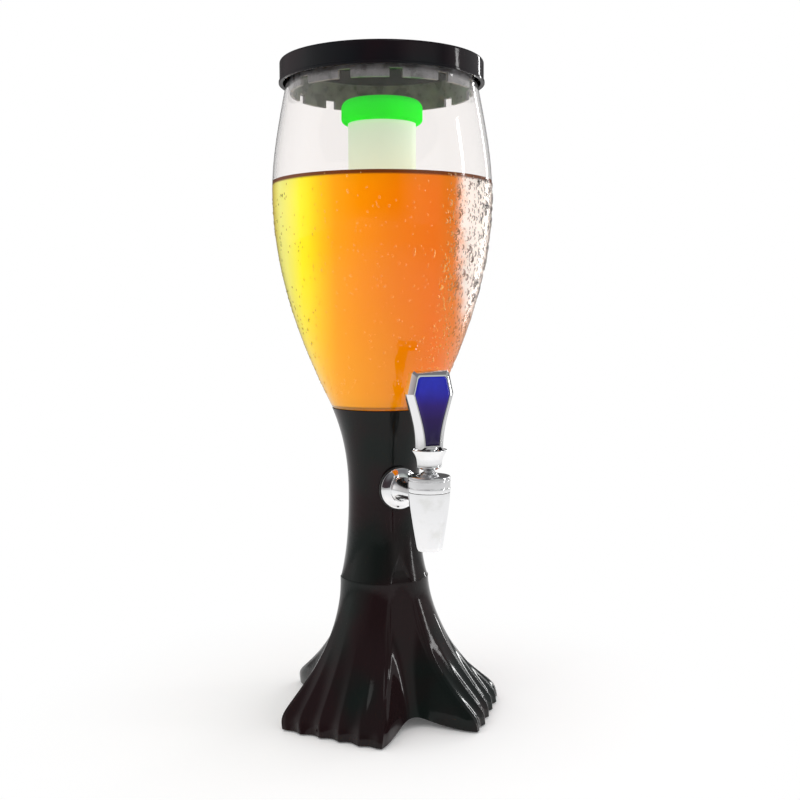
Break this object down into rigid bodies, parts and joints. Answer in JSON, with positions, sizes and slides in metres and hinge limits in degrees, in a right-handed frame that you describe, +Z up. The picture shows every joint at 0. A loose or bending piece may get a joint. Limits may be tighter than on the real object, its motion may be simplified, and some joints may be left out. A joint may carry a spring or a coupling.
{
  "type": "beer tower dispenser",
  "caption": "Table-top drink tower: clear goblet tank with a cooling tube and lit cap inside, on a gloss black column and three-legged base, with a lever tap.",
  "frame": {"origin": "on the tower's axis, at the plane of the rubber feet it stands on", "axes": "+Z up along the tower's axis; -Y points out along the tap, towards the person who pours; +X to that person's right"},
  "size_m": [0.1782, 0.1777, 0.49],
  "materials": {
    "base_black": "injection-moulded, high gloss",
    "lid_black": "injection-moulded, high gloss",
    "tank_clear": "clear moulded plastic, polished",
    "tube_frosted": "frosted moulded plastic",
    "lamp_green": "translucent green plastic, lit from inside",
    "rubber_black": "moulded rubber, matt",
    "silicone": "moulded silicone, satin",
    "steel": "turned steel",
    "chrome": "polished chrome plate",
    "clip_brass": "pressed spring brass",
    "board_green": "glass-fibre board with solder mask",
    "led_clear": "clear moulded lens, lit",
    "cell_steel": "nickel-plated steel cans",
    "handle_blue": "domed gloss panel, blue that darkens downwards",
    "button_clear": "translucent moulded plastic"
  },
  "bodies": {
    "stand": {"base_skirt": "base_black", "foot_pads": "rubber_black", "base_screws": "steel", "column": "base_black", "tank_gasket": "rubber_black", "tank": "tank_clear", "tap_outer_washer": "rubber_black", "tap_inner_washer": "rubber_black", "tap_lock_nut": "chrome", "tap_escutcheon": "chrome", "tap_body": "chrome", "tap_bonnet": "chrome", "pivot_pin": "steel", "ball_seal": "rubber_black"},
    "lid": {"lid": "lid_black", "lid_seal": "silicone"},
    "ice_tube": {"ice_tube": "tube_frosted"},
    "light_cap": {"light_cap": "lamp_green", "cap_gasket": "silicone", "led_board": "board_green", "leds": "led_clear", "battery_cells": "cell_steel", "battery_clips": "clip_brass", "cap_cover": "lamp_green"},
    "switch_button": {"switch_button": "button_clear"},
    "handle": {"tap_lever": "steel", "handle_ferrule": "chrome", "tap_handle": "chrome", "handle_panel": "handle_blue"},
    "valve": {"valve_shaft": "steel", "valve_washer": "rubber_black", "shaft_nut": "steel"}
  },
  "joints": [
    {"name": "lid_lift", "type": "slide", "parent": "stand", "child": "lid", "axis": [0, 0, 1], "range_m": [0, 0.15]},
    {"name": "tube_lift", "type": "slide", "parent": "stand", "child": "ice_tube", "axis": [0, 0, 1], "range_m": [0, 0.09]},
    {"name": "cap_lift", "type": "slide", "parent": "ice_tube", "child": "light_cap", "axis": [0, 0, 1], "range_m": [0, 0.015]},
    {"name": "switch_press", "type": "slide", "parent": "light_cap", "child": "switch_button", "axis": [0, 0, -1], "range_m": [0, 0.001], "stiffness_N_per_m": 800, "springref_m": -0.0006},
    {"name": "handle_pull", "type": "hinge", "parent": "stand", "child": "handle", "pos_m": [0, -0.08, 0.185], "axis": [1, 0, 0], "range_deg": [0, 30]},
    {"name": "valve_slide", "type": "slide", "parent": "stand", "child": "valve", "axis": [0, 1, 0], "range_m": [0, 0.006]}
  ],
  "couplings": [
    {"joint": "tube_lift", "follows": "lid_lift", "ratio": 0.6},
    {"joint": "cap_lift", "follows": "lid_lift", "ratio": 0.1},
    {"joint": "valve_slide", "follows": "handle_pull", "m_per_rad": 0.011364}
  ]
}
